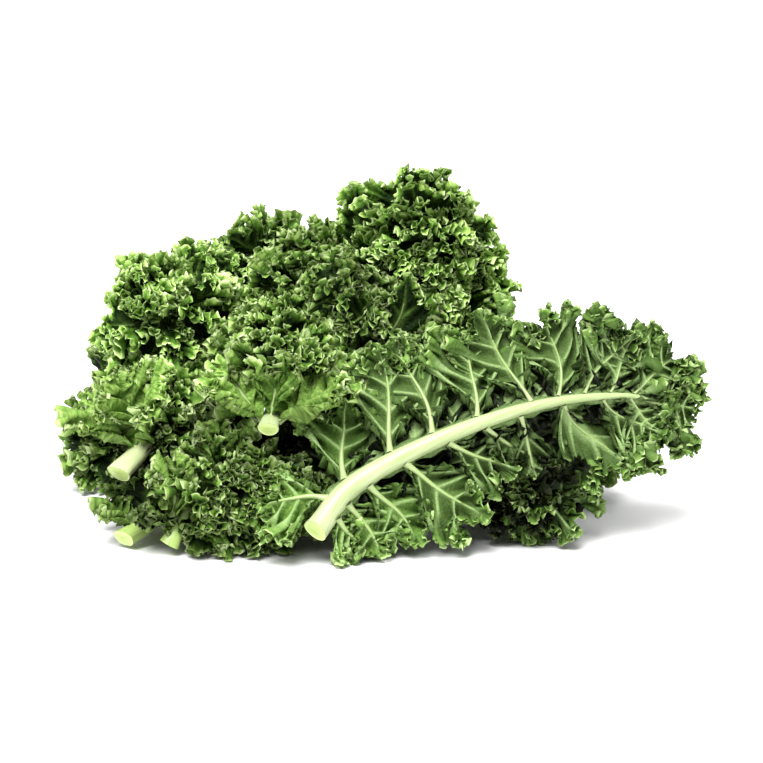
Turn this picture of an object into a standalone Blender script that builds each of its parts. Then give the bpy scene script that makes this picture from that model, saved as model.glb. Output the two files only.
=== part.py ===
"""A bunch of cut curly kale leaves, lying in a heap.

Each leaf is one closed solid: a round cut stalk that runs on as the midrib, and a
lobed blade with thick frilled margins. The solids are the leaves' envelopes, so the
fine curls stay out of them. Units in the tables are millimetres; X is to the right,
Y is away from the front, Z is up, and the heap stands on Z = 0.
"""

import math

import bmesh
import bpy
import numpy as np

MM = 0.001

# Driving dimensions of a leaf, in millimetres
STATIONS = 30  # cross-sections along a leaf
RING = 24  # points round a cross-section
STALK_TAPER = 0.30  # what is left of the stalk's radius at the tip
GAP = 0.5  # kept between neighbouring leaves
PRESSED = 5.0  # what lies lower than this is pressed flat on the surface
MIDDLE = (-0.4, 1.9, 0.0)  # middle of the heap's footprint in the table of leaves
LOBE_DEPTH = 0.26  # how deep the notches between lobes are, of the half width
CURL_DEPTH = 2.5  # swell of the frilled margin from curl to curl
CURLS = 9  # swells along each margin
BLADE_THICK = 3.0  # half thickness of the blade beside the midrib


class Leaf:
    """Sizes and place of one leaf.

    spine: points from the cut end to the tip
    face: where the upper side looks, at the cut end and at the tip
    stalk: radius at the cut end
    bare: share of the spine's length that is bare stalk
    width: half widths of the blade, to the left and to the right of the midrib
    frill: half thickness of the frilled margin
    cup: how far the margins rise towards the upper side, of the half width
    lobes: lobes along each margin
    """

    def __init__(self, name, spine, face, stalk, bare, width, frill, cup, lobes=5):
        self.name = name
        self.spine = np.array(spine, float)
        self.face = np.array(face, float)
        self.stalk = stalk
        self.bare = bare
        self.width = width
        self.frill = frill
        self.cup = cup
        self.lobes = lobes


LEAVES = [
    Leaf(
        "leaf_front",
        [(-46, -136, 27), (-14, -112, 62), (49, -97, 89), (114, -78, 103),
         (172, -58, 105), (203, -50, 97), (230, -43, 79)],
        [(0.1, 0.9, -0.42), (-0.1, 0.9, -0.35)],
        8.5, 0.07, [(68, 78, 72, 48), (92, 104, 58, 100, 44)], 12.0, 0.16, 7,
    ),
    Leaf(
        "leaf_low_right",
        [(68, 98, 28), (80, 40, 26), (94, -10, 29), (103, -52, 33), (105, -94, 34)],
        [(0.0, 0.0, 1.0), (0.0, -0.4, 0.9)],
        6.5, 0.18, [(44, 52), (44, 50)], 34.0, 0.04,
    ),
    Leaf(
        "leaf_low_middle",
        [(-150, -106, 9), (-136, -98, 32), (-112, -90, 40), (-84, -86, 40),
         (-58, -86, 36)],
        [(0.1, -0.9, 0.4), (0.2, -0.9, 0.3)],
        6.5, 0.20, [(38, 50), (38, 46)], 21.0, 0.08, 4,
    ),
    Leaf(
        "leaf_low_left",
        [(-184, -90, 10), (-162, -60, 20), (-136, -18, 30), (-116, 24, 32),
         (-104, 66, 28)],
        [(0.0, 0.0, 1.0), (0.0, 0.0, 1.0)],
        8.0, 0.14, [(44, 52), (36, 52)], 33.0, 0.06,
    ),
    Leaf(
        "leaf_inner",
        [(-40, -62, 14), (-32, -6, 35), (-18, 48, 44), (0, 108, 38)],
        [(0.0, -0.1, 1.0), (0.0, 0.2, 1.0)],
        6.5, 0.14, [(54, 66), (54, 66)], 44.0, 0.0,
    ),
    Leaf(
        "leaf_back_left",
        [(-88, 112, 24), (-138, 101, 31), (-184, 93, 38), (-232, 86, 41)],
        [(0.0, -0.2, 1.0), (-0.3, -0.3, 0.9)],
        6.5, 0.10, [(40, 48), (38, 48)], 40.0, 0.02, 4,
    ),
    Leaf(
        "leaf_back_right",
        [(18, 126, 10), (64, 108, 33), (118, 74, 41), (176, 26, 29)],
        [(0.1, 0.5, 0.85), (0.4, 0.4, 0.8)],
        6.5, 0.10, [(50, 58), (56, 68)], 28.0, 0.03,
    ),
    Leaf(
        "leaf_left",
        [(-188, -76, 54), (-172, -48, 70), (-160, -12, 84), (-150, 36, 88),
         (-142, 90, 82)],
        [(-0.1, -0.45, 0.9), (0.0, 0.2, 1.0)],
        8.5, 0.14, [(42, 58), (42, 56)], 29.0, 0.12,
    ),
    Leaf(
        "leaf_centre",
        [(-79, -106, 94), (-75, -74, 107), (-68, -36, 120), (-60, 6, 128)],
        [(0.0, -0.5, 0.9), (0.0, -0.3, 1.0)],
        6.8, 0.14, [(46, 54), (46, 54)], 22.0, 0.20, 4,
    ),
    Leaf(
        "leaf_middle",
        [(28, -34, 62), (12, -32, 108), (-8, -30, 142), (-28, -22, 176)],
        [(-0.3, -0.8, 0.5), (-0.3, -0.8, 0.5)],
        5.5, 0.12, [(40, 48), (42, 46)], 18.0, 0.08, 4,
    ),
    Leaf(
        "leaf_upper_left",
        [(-76, 78, 110), (-110, 52, 138), (-150, 24, 154), (-196, 2, 144)],
        [(0.0, -0.35, 0.95), (-0.3, -0.5, 0.85)],
        6.5, 0.12, [(52, 64), (52, 60)], 29.0, 0.04,
    ),
    Leaf(
        "leaf_upper_middle",
        [(-68, 16, 128), (-64, 22, 158), (-50, 28, 190), (-28, 36, 222)],
        [(-0.35, -0.75, 0.55), (-0.2, -0.8, 0.5)],
        5.5, 0.10, [(40, 48), (44, 52)], 23.0, 0.06, 4,
    ),
    Leaf(
        "leaf_crown",
        [(2, 8, 84), (14, 22, 130), (27, 32, 176), (35, 32, 218), (37, 22, 252)],
        [(0.0, -0.95, 0.3), (0.0, -0.95, 0.35)],
        6.5, 0.14, [(56, 66, 66), (52, 62, 66)], 33.0, 0.08,
    ),
    Leaf(
        "leaf_back",
        [(24, 98, 84), (-20, 96, 122), (-58, 92, 160), (-92, 84, 192)],
        [(-0.3, 0.6, 0.7), (-0.5, 0.4, 0.8)],
        5.5, 0.10, [(44, 54), (44, 54)], 26.0, 0.08, 4,
    ),
]

# Finish of the plain solids: linear colour and roughness
BLADE_COLOUR = (0.085, 0.22, 0.035, 1.0)
BLADE_ROUGHNESS = 0.55


def remove_everything():
    """Start from an empty scene."""
    for item in list(bpy.data.objects):
        bpy.data.objects.remove(item, do_unlink=True)


def unit(vector):
    """A vector or rows of vectors, scaled to length one."""
    length = np.linalg.norm(vector, axis=-1, keepdims=True)
    return vector / np.maximum(length, 1e-12)


def through(points, shares):
    """A smooth curve through points, read at shares of its length from 0 to 1."""
    count = len(points)
    ends = np.vstack([2 * points[0] - points[1], points, 2 * points[-1] - points[-2]])
    fine = []
    for i in range(count - 1):
        a, b, c, d = ends[i : i + 4]
        for s in np.linspace(0, 1, 24, endpoint=i == count - 2):
            fine.append(
                0.5 * (2 * b + (c - a) * s + (2 * a - 5 * b + 4 * c - d) * s**2
                       + (3 * b - a - 3 * c + d) * s**3)
            )
    fine = np.array(fine)
    steps = np.linalg.norm(np.diff(fine, axis=0), axis=1)
    run = np.concatenate([[0], np.cumsum(steps)])
    run /= run[-1]
    return np.stack([np.interp(shares, run, fine[:, k]) for k in range(3)], axis=1)


def smooth(value):
    """The smooth step from 0 to 1."""
    value = np.clip(value, 0, 1)
    return value * value * (3 - 2 * value)


def half_width(leaf, side, s):
    """Half width of the blade at share s of its length: an oval outline with lobes."""
    given = np.array(leaf.width[side], float)
    place = np.linspace(0.12, 0.88, len(given))
    size = np.interp(s, place, given)
    oval = np.maximum(np.sin(math.pi * np.clip(s, 0, 1) ** 0.85), 0) ** 0.5
    wave = 0.5 - 0.5 * np.cos(2 * math.pi * (leaf.lobes * s + 0.5 * side))
    return size * oval * (1 - LOBE_DEPTH * (1 - wave))


def section(leaf, share, grow):
    """Points of one cross-section, as offsets across the leaf and towards its face."""
    s = (share - leaf.bare) / (1 - leaf.bare)
    blade = float(smooth(s / 0.12))
    rib = leaf.stalk * (1 - (1 - STALK_TAPER) * share) + grow
    offsets = []
    for k in range(RING):
        angle = 2 * math.pi * k / RING
        across, up = math.cos(angle), math.sin(angle)
        side = 0 if across > 0 else 1
        reach = max(half_width(leaf, side, s), rib) + grow if s > 0 else rib
        margin = smooth((abs(across) - 0.15) / 0.6)
        curl = CURL_DEPTH * math.sin(2 * math.pi * CURLS * s + 2.1 * side)
        thick = BLADE_THICK + (leaf.frill + curl - BLADE_THICK) * margin + grow
        thick *= min(1.0, 0.45 + reach / 60)
        rise = leaf.cup * reach * abs(across) ** 1.6
        flat_up = math.copysign(abs(up) ** 0.75, up) * thick
        ridge = rib * math.exp(-((across * reach / (1.2 * rib)) ** 2))
        if up < 0:
            flat_up -= ridge * -up
        x = rib * across * (1 - blade) + reach * across * blade
        z = rib * up * (1 - blade) + (flat_up + rise) * blade
        offsets.append((x, z))
    return offsets


def leaf_mesh(leaf, grow=0.0):
    """The leaf's closed surface, swollen by grow, as a Blender mesh in metres."""
    shares = np.linspace(0, 1, STATIONS)
    shares = shares - 0.06 * np.sin(2 * math.pi * shares) / (2 * math.pi)
    centres = through(leaf.spine, shares)
    along = unit(np.gradient(centres, axis=0))
    mix = smooth(shares)[:, None]
    face = unit(leaf.face[0] * (1 - mix) + leaf.face[1] * mix)
    across = unit(np.cross(along, face))
    face = np.cross(across, along)
    centres[0] -= along[0] * grow
    centres[-1] += along[-1] * grow
    work = bmesh.new()
    rings = []
    for i, share in enumerate(shares):
        ring = []
        for x, z in section(leaf, share, grow):
            place = centres[i] + across[i] * x + face[i] * z
            if place[2] < PRESSED:
                place[2] = -grow
            ring.append(work.verts.new((place - MIDDLE) * MM))
        rings.append(ring)
    for lower, upper in zip(rings, rings[1:]):
        for k in range(RING):
            n = (k + 1) % RING
            work.faces.new((lower[k], lower[n], upper[n], upper[k]))
    for ring in (rings[0], rings[-1]):
        work.faces.new(ring)
    bmesh.ops.triangulate(work, faces=work.faces[:])
    bmesh.ops.recalc_face_normals(work, faces=work.faces[:])
    mesh = bpy.data.meshes.new(leaf.name)
    work.to_mesh(mesh)
    work.free()
    return mesh


def leaf_material(leaf, shade):
    """The plain green of one leaf."""
    material = bpy.data.materials.new(leaf.name)
    material.use_nodes = True
    surface = material.node_tree.nodes["Principled BSDF"]
    colour = [channel * shade for channel in BLADE_COLOUR[:3]] + [1.0]
    surface.inputs["Base Color"].default_value = colour
    surface.inputs["Roughness"].default_value = BLADE_ROUGHNESS
    surface.inputs["Metallic"].default_value = 0.0
    return material


def add(name, mesh):
    """A new object in the scene."""
    item = bpy.data.objects.new(name, mesh)
    bpy.context.scene.collection.objects.link(item)
    return item


def near(first, second):
    """True if two objects' boxes meet."""
    a = np.array([v.co for v in first.data.vertices])
    b = np.array([v.co for v in second.data.vertices])
    return bool(np.all(a.min(0) < b.max(0)) and np.all(b.min(0) < a.max(0)))


def build():
    """Build the leaves; each one gives way to those built before it."""
    placed = []
    for index, leaf in enumerate(LEAVES):
        item = add(leaf.name, leaf_mesh(leaf))
        item.data.materials.append(leaf_material(leaf, 0.8 + 0.04 * (index % 6)))
        for cutter in placed:
            if not near(item, cutter):
                continue
            give_way = item.modifiers.new("give_way_" + cutter.name, "BOOLEAN")
            give_way.operation = "DIFFERENCE"
            give_way.object = cutter
        cutter = add("room_for_" + leaf.name, leaf_mesh(leaf, GAP))
        cutter.hide_render = True
        cutter.display_type = "WIRE"
        placed.append(cutter)
        item.data.shade_smooth()
        item.data.set_sharp_from_angle(angle=math.radians(50))


remove_everything()
build()
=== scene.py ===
"""A heap of cut curly kale leaves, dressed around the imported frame.

Each leaf grows here as one mesh: a stalk that runs on as the midrib, side veins, and
lobes whose margins are folded in curls on curls. Sizes are in millimetres until a
mesh is made. X is to the right, Y is away from the front and Z is up.
"""

import logging
import math
from dataclasses import dataclass, field
from enum import Enum

import bpy
import numpy as np
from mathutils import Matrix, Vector


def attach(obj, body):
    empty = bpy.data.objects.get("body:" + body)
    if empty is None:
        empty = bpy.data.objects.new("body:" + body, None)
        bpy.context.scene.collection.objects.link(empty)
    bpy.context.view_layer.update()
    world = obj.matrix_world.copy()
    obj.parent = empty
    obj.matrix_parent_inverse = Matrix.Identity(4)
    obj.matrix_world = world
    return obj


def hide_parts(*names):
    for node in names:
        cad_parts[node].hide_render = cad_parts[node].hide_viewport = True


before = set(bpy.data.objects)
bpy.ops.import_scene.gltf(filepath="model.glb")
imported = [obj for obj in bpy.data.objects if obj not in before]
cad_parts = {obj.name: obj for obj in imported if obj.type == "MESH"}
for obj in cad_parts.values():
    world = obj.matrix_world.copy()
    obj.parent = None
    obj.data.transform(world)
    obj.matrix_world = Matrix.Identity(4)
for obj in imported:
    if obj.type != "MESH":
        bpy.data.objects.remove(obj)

LOG = logging.getLogger("kale")
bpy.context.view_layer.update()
MM = 0.001
TURN = 6.28  # a whole turn in radians, for random phases
BODY = "root"
MIDDLE = np.array([-0.4, 1.9, 0.0])  # middle of the heap's footprint in the leaf table
Row = tuple[np.ndarray, np.ndarray, np.ndarray]  # points, marks and flattened places


def unit(vectors: np.ndarray) -> np.ndarray:
    """Scale vectors to length one.

    Args:
        vectors: vectors along the last axis.

    Returns:
        The same directions with length one.
    """
    length = np.linalg.norm(vectors, axis=-1, keepdims=True)
    return vectors / np.maximum(length, 1e-9)


def smooth(value: np.ndarray | float) -> np.ndarray | float:
    """The smooth step of a value from 0 to 1."""
    value = np.clip(value, 0.0, 1.0)
    return value * value * (3.0 - 2.0 * value)


def travel(values: np.ndarray, step: float) -> np.ndarray:
    """Add values up along their first axis, by the trapezium rule, from zero."""
    middle = 0.5 * (values[1:] + values[:-1]) * step
    return np.concatenate([np.zeros_like(values[:1]), np.cumsum(middle, axis=0)])


def run_of(points: np.ndarray) -> np.ndarray:
    """Distance from the first point to each point, along the points."""
    steps = np.linalg.norm(np.diff(points, axis=0), axis=-1)
    return np.concatenate([[0.0], np.cumsum(steps)])


def evened(values: np.ndarray, reach: int) -> np.ndarray:
    """Average each value of a row with its neighbours.

    Args:
        values: rows of values.
        reach: how many places away a neighbour may be.

    Returns:
        The averaged rows.
    """
    padded = np.pad(values, ((0, 0), (reach + 1, reach)), mode="edge")
    total = np.cumsum(padded, axis=1)
    return (total[:, 2 * reach + 1 :] - total[:, : -2 * reach - 1]) / (2 * reach + 1)


def wander(along: np.ndarray, reach: float, rng: np.random.Generator) -> np.ndarray:
    """A smooth random curve between about -1 and 1.

    Args:
        along: places in millimetres.
        reach: typical distance between two bends in millimetres.
        rng: source of the curve's phases.

    Returns:
        The curve's height at each place.
    """
    highest = 2.6  # four waves seldom add up to more
    total = np.zeros_like(along)
    for share in (0.6, 1.0, 1.7, 2.6):
        total += np.sin(2 * math.pi * along / (reach * share) + rng.uniform(0, TURN))
    return total / highest


def through(points: np.ndarray, shares: np.ndarray) -> np.ndarray:
    """Read a smooth curve through points at shares of its length.

    Args:
        points: the points that the curve passes.
        shares: places from 0 to 1.

    Returns:
        One point for each share.
    """
    ends = np.vstack([2 * points[0] - points[1], points, 2 * points[-1] - points[-2]])
    fine = []
    last = len(points) - 2
    for i in range(len(points) - 1):
        a, b, c, d = ends[i : i + 4]
        for s in np.linspace(0, 1, 24, endpoint=i == last):
            fine.append(
                0.5 * (2 * b + (c - a) * s + (2 * a - 5 * b + 4 * c - d) * s**2
                       + (3 * b - a - 3 * c + d) * s**3)
            )
    curve = np.array(fine)
    run = run_of(curve)
    return np.stack([np.interp(shares, run / run[-1], curve[:, k]) for k in range(3)], axis=-1)


def shelves(sizes: list[tuple[float, float]]) -> tuple[dict[int, tuple[float, float]], float]:
    """Lay rectangles on shelves in a square.

    Args:
        sizes: width and height of each rectangle.

    Returns:
        The low corner of each rectangle, and the side of the square.
    """
    order = sorted(range(len(sizes)), key=lambda i: -sizes[i][1])
    side = max(math.sqrt(sum(w * h for w, h in sizes)), max(w for w, _ in sizes))
    while True:
        corners = {}
        x = y = shelf = 0.0
        for i in order:
            width, height = sizes[i]
            if x + width > side:
                x, y, shelf = 0.0, y + shelf, 0.0
            corners[i] = (x, y)
            x += width
            shelf = max(shelf, height)
        if y + shelf <= side:
            return corners, side
        side *= 1.02


class Part(Enum):
    """Which finish a stretch of the leaf takes."""

    BLADE = 0
    STALK = 1
    CUT = 2


class Side(Enum):
    """Which side of the midrib a lobe grows on."""

    LEFT = 0
    RIGHT = 1
    TIP = 2

    @property
    def sign(self) -> float:
        """1 to the left, -1 to the right and 0 at the tip."""
        return (1.0, -1.0, 0.0)[self.value]


class StalkTone(Enum):
    """How green a leaf's stalk is."""

    CREAM = "cream"
    PALE = "pale"
    GREEN = "green"


@dataclass(frozen=True)
class Curl:
    """One size of fold along a lobe's margin.

    length: distance between two folds along the unfolded outline
    height: how far a fold swings to each side, as a share of its real length
    lean: how far folds tip over, 1 being upright
    start: share of the way from vein to margin where folding begins
    """

    length: float
    height: float
    lean: float
    start: float


@dataclass(frozen=True)
class Habit:
    """How one kind of lobe grows.

    curls: the sizes of fold along its margin, from long to short
    rows: rows of its sheet, each a share of the way from vein to margin and the step
        between the columns that it keeps
    neck: how fast it widens; less is wider near the end than near the midrib
    fork: how near the midrib the vein branches; 1 is evenly along the vein
    quilt: how far the blade swells between its ribs
    flop: how far the margin sways up and down
    twist: how far the vein may turn about itself, in degrees
    base_detail: how fine the margin is near the midrib, where it is hidden, 1 being full
    ring_step: places on the side vein from one ring of its skin to the next
    calm_foot: True if the margin lies still near the midrib
    """

    curls: tuple[Curl, ...]
    rows: tuple[tuple[float, int], ...]
    neck: float
    fork: float
    quilt: float
    flop: float
    twist: float
    base_detail: float
    ring_step: int
    calm_foot: bool

    def freedom(self, ahead: np.ndarray, around: np.ndarray) -> np.ndarray:
        """How freely the margin curls at each place, from 0 to 1.

        Args:
            ahead: share of the lobe's length that the outline has reached.
            around: place round the outline, from -1 to 1 with the tip at 0.

        Returns:
            The freedom at each place.
        """
        if self.calm_foot:
            return smooth((ahead - 0.35) / 0.45)
        return smooth((1 - np.abs(around)) / 0.12)


CURLED = Habit(
    curls=(Curl(12.5, 0.42, 1.5, 0.05), Curl(3.3, 0.44, 1.5, 0.34), Curl(1.45, 0.36, 1.1, 0.76)),
    rows=((0, 8), (0.22, 8), (0.42, 4), (0.58, 4), (0.72, 2), (0.84, 2), (0.93, 1), (1.0, 1)),
    neck=0.42, fork=2.8, quilt=1.5, flop=3.5, twist=35, base_detail=0.3, ring_step=4,
    calm_foot=False,
)
SOFT = Habit(
    curls=(Curl(12.0, 0.42, 1.4, 0.40), Curl(3.2, 0.44, 1.5, 0.58), Curl(1.5, 0.36, 1.1, 0.80)),
    rows=((0, 8), (0.08, 8), (0.18, 4), (0.30, 4), (0.42, 4), (0.52, 2), (0.62, 2),
          (0.72, 2), (0.82, 1), (0.90, 1), (0.96, 1), (1.0, 1)),
    neck=0.24, fork=1.0, quilt=8.0, flop=6.0, twist=14, base_detail=0.7, ring_step=2,
    calm_foot=True,
)
RIBS = (0.24, 0.46, 0.68)  # where ribs meet a lobe's outline, from its tip to the midrib
PLEATS = (0.18, 0.36, 0.54, 0.72)  # the same in a lobe that many ribs fan out through
GAP = 1.0  # free millimetres round each grid where the skin is laid out flat
STEEP = 30.0  # a lobe that rises more steeply than this stands up beside the midrib
FOOT = 4.0  # half of a lobe's hold along the midrib
VEIN_REACH = 0.80  # share of a lobe's length that its vein runs
RIB_DEPTH = 0.7  # how deep a rib lies in the upper side
SWAY = 55.0  # distance between two sways of a lobe's margin
TOOTH = 1.5  # length of the small teeth that fringe the margin
# the darkest lobes are near-black sheets, painted shade in the hollows
DARKEST_SHADE = -0.45  # tone of the darkest lobes
PRESSED = 5.0  # below this height a leaf is pressed flatter by the floor
LOWEST = 0.4  # and this is as low as it comes


@dataclass
class LeafMesh:
    """Gathers the grids of one leaf and turns them into one object.

    points, marks, flats: place, colour marks and flattened place of each point
    faces, corners: point numbers and laid-out places of each triangle's corners
    cells, parts: grid and finish of each triangle
    sizes: laid-out width and height of each grid
    count: how many points there are
    """

    points: list[np.ndarray] = field(default_factory=list)
    marks: list[np.ndarray] = field(default_factory=list)
    flats: list[np.ndarray] = field(default_factory=list)
    faces: list[np.ndarray] = field(default_factory=list)
    corners: list[np.ndarray] = field(default_factory=list)
    cells: list[np.ndarray] = field(default_factory=list)
    parts: list[np.ndarray] = field(default_factory=list)
    sizes: list[tuple[float, float]] = field(default_factory=list)
    count: int = 0

    def add(self, grid: list[Row], part: Part, closed: bool = False) -> None:
        """Add a grid given row by row; a row may have twice the points of the one before.

        Args:
            grid: for each row its points, their marks for margin, vein and tone, or one
                mark for all, and their places on the flattened leaf.
            part: the finish.
            closed: True if each row is a ring.
        """
        starts = []
        for row, mark, flat in grid:
            starts.append(self.count)
            self.points.append(row)
            self.marks.append(np.broadcast_to(mark, (len(row), 3)))
            self.flats.append(flat)
            self.count += len(row)
        rows = [row for row, _, _ in grid]
        width = max(run_of(row)[-1] for row in rows)
        rise = [0.0]
        for near, far in zip(rows[:-1], rows[1:]):
            stride = max((len(far) - 1) // max(len(near) - 1, 1), 1)
            apart = far[::stride][: len(near)] - near
            rise.append(rise[-1] + np.linalg.norm(apart, axis=1).mean())

        def place(level: int, index: np.ndarray, total: int) -> tuple[np.ndarray, np.ndarray]:
            """Number and laid-out place of points of a row.

            Args:
                level: the row.
                index: the points' places in the row.
                total: how many steps the row has.

            Returns:
                The numbers and the places.
            """
            across = width * index / total
            return (
                starts[level] + index % len(rows[level]),
                np.stack([across, np.full(len(index), rise[level])], axis=-1),
            )

        for j in range(len(rows) - 1):
            low, high = len(rows[j]), len(rows[j + 1])
            cuts = low if closed else low - 1
            k = np.arange(cuts)
            a, an = place(j, k, cuts), place(j, k + 1, cuts)
            if high == low:
                b, bn = place(j + 1, k, cuts), place(j + 1, k + 1, cuts)
                made = [(a, b, bn), (a, bn, an)]
            else:
                b0, b1, b2 = (place(j + 1, 2 * k + i, 2 * cuts) for i in range(3))
                made = [(a, b0, b1), (a, b1, an), (an, b1, b2)]
            for triangle in made:
                self.faces.append(np.stack([c[0] for c in triangle], axis=1))
                self.corners.append(np.stack([c[1] for c in triangle], axis=1))
                self.cells.append(np.full(cuts, len(self.sizes)))
                self.parts.append(np.full(cuts, part.value))
        self.sizes.append((width + 2 * GAP, rise[-1] + 2 * GAP))

    def build(self, name: str, materials: list[bpy.types.Material]) -> bpy.types.Object:
        """Make the object.

        Args:
            name: the piece's name.
            materials: one for each Part, in its order.

        Returns:
            The new object, linked to the scene.
        """
        points = np.concatenate(self.points)
        faces = np.concatenate(self.faces)
        mesh = bpy.data.meshes.new(name)
        mesh.vertices.add(len(points))
        mesh.vertices.foreach_set("co", ((points - MIDDLE) * MM).ravel())
        mesh.loops.add(faces.size)
        mesh.loops.foreach_set("vertex_index", faces.ravel())
        mesh.polygons.add(len(faces))
        mesh.polygons.foreach_set("loop_start", np.arange(len(faces)) * 3)
        mesh.polygons.foreach_set("material_index", np.concatenate(self.parts))
        colour = np.pad(np.concatenate(self.marks), ((0, 0), (0, 1)), constant_values=1.0)
        layer = mesh.attributes.new("marks", "FLOAT_COLOR", "POINT")
        layer.data.foreach_set("color", colour.ravel())
        flat = np.pad(np.concatenate(self.flats) * MM, ((0, 0), (0, 1)))
        layer = mesh.attributes.new("flat", "FLOAT_VECTOR", "POINT")
        layer.data.foreach_set("vector", flat.ravel())
        corners, side = shelves(self.sizes)
        low = np.array([corners[i] for i in range(len(self.sizes))]) + GAP
        cells = np.concatenate(self.cells)
        laid_out = (np.concatenate(self.corners) + low[cells][:, None]) / side
        mesh.uv_layers.new(name="OFBake").uv.foreach_set("vector", laid_out.ravel())
        mesh.update(calc_edges=True)
        mesh.validate()
        mesh.shade_smooth()
        for material in materials:
            mesh.materials.append(material)
        piece = bpy.data.objects.new(name, mesh)
        bpy.context.scene.collection.objects.link(piece)
        return piece


@dataclass
class Tube:
    """A round rib: the stalk with the midrib, or a side vein.

    centres: points along the rib
    face: the leaf's upper side at each point
    radii: radius at each point
    sides: points round the rib
    slant: how far the cut end leans to the underside, as a slope
    fade: how far its colour turns towards the blade's at the far end
    """

    centres: np.ndarray
    face: np.ndarray
    radii: np.ndarray
    sides: int
    slant: float = 0.0
    fade: float = 0.5

    def grow(self, leaf: LeafMesh) -> np.ndarray:
        """Add the rib's skin to the leaf.

        Args:
            leaf: the mesh that takes the skin.

        Returns:
            The first ring of points.
        """
        along = unit(np.gradient(self.centres, axis=0))
        across = unit(np.cross(along, self.face))
        face = np.cross(across, along)
        angle = 2 * math.pi * np.arange(self.sides) / self.sides
        wide, deep = np.cos(angle), np.sin(angle)
        deep = np.where(deep > 0, 0.6 * deep, deep)  # flatter on the upper side
        run = run_of(self.centres)
        grid = []
        for i, radius in enumerate(self.radii):
            leaning = -self.slant * deep * max(0.0, 1 - i / 4)
            ring = self.centres[i] + radius * (
                wide[:, None] * across[i] + deep[:, None] * face[i] + leaning[:, None] * along[i])
            faded = self.fade * (0.25 + i / len(self.radii)) ** 0.5
            flat = np.stack([np.full(self.sides, run[i]), radius * angle], axis=1)
            grid.append((ring, np.array([faded, 1.0, 0.5]), flat))
        leaf.add(grid, Part.STALK, closed=True)
        return grid[0][0]


@dataclass
class Sheet:
    """A lobe's blade as a grid, with rows from vein to margin and columns round the outline.

    points: place of each point in the heap
    along: distance of each column round the unfolded outline
    rate: share of the way from vein to margin of each row
    strides: step between the columns that each row keeps
    free: how freely each column curls
    grain: distance between two columns where the blade shows
    rng: source of the folds' phases
    """

    points: np.ndarray
    along: np.ndarray
    rate: np.ndarray
    strides: np.ndarray
    free: np.ndarray
    grain: float
    rng: np.random.Generator

    def swell(self, rib: np.ndarray, bulge: np.ndarray, flop: float) -> None:
        """Sink the ribs, raise the blade between them and let the margin sway.

        Args:
            rib: how much of a rib there is at each point.
            bulge: how high the blade swells at each point.
            flop: how far the margin sways up and down.
        """
        swayed = flop * wander(self.along, SWAY, self.rng)[None] * self.rate**2 * self.free
        across = np.gradient(self.points, axis=0)
        normal = unit(np.cross(across, np.gradient(self.points, axis=1)))
        self.points = self.points - normal * (RIB_DEPTH * rib - bulge - swayed)[..., None]

    def fold(self, curl: Curl, level: int) -> None:
        """Fold the margin once.

        Args:
            curl: the size of fold.
            level: how many sizes came before.
        """
        spacing = np.gradient(self.along)[None]
        amount = np.clip((self.rate - curl.start) / (1 - curl.start), 0, 1) ** 1.1 * self.free
        samples = curl.length / spacing / self.strides[:, None]
        amount = amount * smooth((samples - 1.5) / 1.5)  # no folds finer than the grid
        # a blade that earlier folds have stretched takes larger folds, up to a limit
        step = np.gradient(self.points, axis=1)
        reach = max(2, round(curl.length / self.grain / 2))
        stretch = evened(np.linalg.norm(step, axis=-1) / spacing, reach)
        wave = curl.length * np.minimum(stretch, 1.2 * 1.55**level)
        tangent = unit(step)
        normal = unit(np.cross(np.gradient(self.points, axis=0), tangent))
        # their height changes every few folds, and they drift, more so towards the margin
        uneven = 1 + 0.45 * wander(self.along, 4 * curl.length, self.rng)[None]
        phase = 2 * math.pi * self.along[None] / curl.length
        phase = phase + 1.6 * wander(self.along, 3.3 * curl.length, self.rng)[None]
        phase = phase + 2.2 * self.rate * wander(self.along, 7 * curl.length, self.rng)[None]
        swing = curl.height * wave * amount * uneven * np.sin(phase)
        tip_over = curl.lean * wave / (4 * math.pi) * amount * np.sin(2 * phase)
        self.points = self.points + normal * swing[..., None] - tangent * tip_over[..., None]

    def fringe(self, width: float) -> None:
        """Cut small teeth into the margin.

        Args:
            width: distance between two teeth.
        """
        outward = unit(np.gradient(self.points, axis=0))
        teeth = 0.5 + 0.5 * np.sin(2 * math.pi * self.along[None] / width)
        tooth = TOOTH * np.clip((self.rate - 0.86) / 0.14, 0, 1) * teeth**2 * self.free
        self.points = self.points + outward * tooth[..., None]


@dataclass(frozen=True)
class LobePlan:
    """Where a lobe goes on its leaf and how it grows.

    side, share: side of the midrib and share of the way along it
    length, half_width: size of the unfolded lobe
    tilt: how far it leans towards the leaf's tip, in degrees
    lift: how steeply its vein rises at its start and its end, in degrees
    trough: how far its two halves fold up towards each other, in degrees
    heading: how far its vein turns within the blade, in degrees
    light: how much lighter than the rest of the leaf; below 0 partly the lobe's own darker
    green and partly painted shade, for lobes in hollows and under others
    pale: least share of the margin's colour that its membrane takes
    shade: share of its length, from the midrib, over which painted shade darkens the margin,
    less so further out
    habit: how its sheet widens, swells and curls
    ribs: where ribs meet its outline, from 0 at the tip to 1 at the midrib
    grain: how much coarser than the rest of the leaf
    inner: True if it stands up beside the midrib, without a round side vein

    A lobe at the tip takes no tilt or heading.
    """

    side: Side
    share: float
    length: float
    half_width: float
    tilt: float
    lift: tuple[float, float]
    trough: float
    heading: float = 0.0
    light: float = 0.0
    pale: float = 0.0
    shade: float = 0.74
    habit: Habit = CURLED
    ribs: tuple[float, ...] = RIBS
    grain: float = 1.0
    inner: bool = False


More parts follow.
